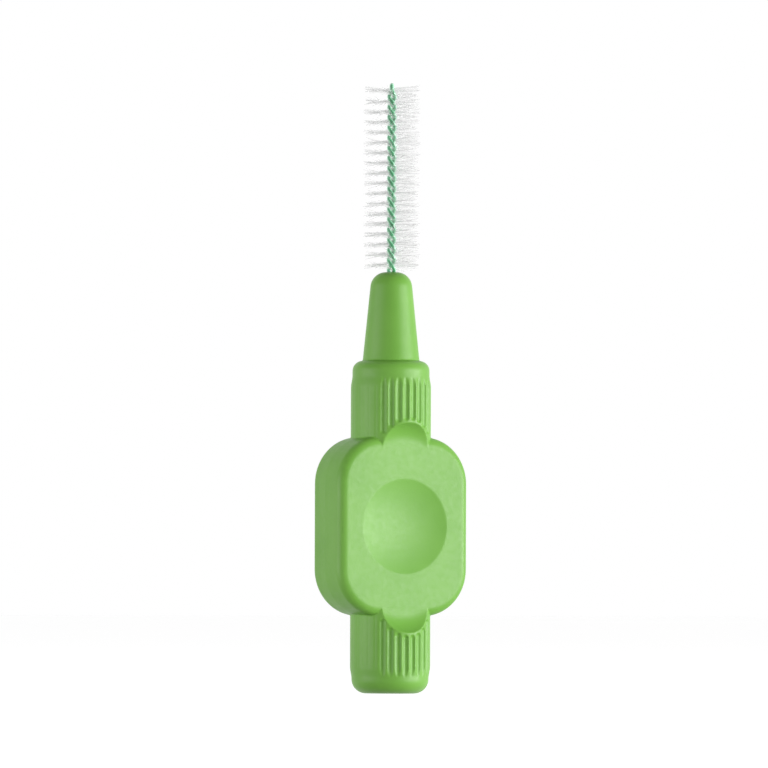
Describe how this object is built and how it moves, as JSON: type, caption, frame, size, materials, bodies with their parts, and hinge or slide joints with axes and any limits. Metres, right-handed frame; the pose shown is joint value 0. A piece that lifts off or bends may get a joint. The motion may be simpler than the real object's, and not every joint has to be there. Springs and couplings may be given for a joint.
{
  "type": "interdental brush",
  "caption": "Interdental brush: flat moulded grip with finger dishes and fluted spigots, a tapered neck, and a coated, twisted wire that holds rows of fine nylon filaments.",
  "frame": {"origin": "centre of the flat tail end, the lowest point of the standing brush", "axes": "+Z along the brush from the tail to the wire's tip, +X across the grip's width, -Y out of the grip's front face"},
  "size_m": [0.0124, 0.0068, 0.0513],
  "materials": {
    "handle_plastic": "satin moulded polypropylene, leaf green, dyed through",
    "wire_coating": "glossy dark green plastic coat on the wire",
    "wire_steel": "drawn stainless steel wire, bright at its cut ends",
    "bristle_nylon": "translucent white nylon filament"
  },
  "bodies": {
    "root": {"handle": "handle_plastic", "wire_core": "wire_steel", "wire_coating": "wire_coating", "bristle_row_01": "bristle_nylon", "bristle_row_02": "bristle_nylon", "bristle_row_03": "bristle_nylon", "bristle_row_04": "bristle_nylon", "bristle_row_05": "bristle_nylon", "bristle_row_06": "bristle_nylon", "bristle_row_07": "bristle_nylon", "bristle_row_08": "bristle_nylon", "bristle_row_09": "bristle_nylon", "bristle_row_10": "bristle_nylon", "bristle_row_11": "bristle_nylon", "bristle_row_12": "bristle_nylon", "bristle_row_13": "bristle_nylon", "bristle_row_14": "bristle_nylon", "bristle_row_15": "bristle_nylon", "bristle_row_16": "bristle_nylon", "bristle_row_17": "bristle_nylon", "bristle_row_18": "bristle_nylon"}
  },
  "joints": []
}
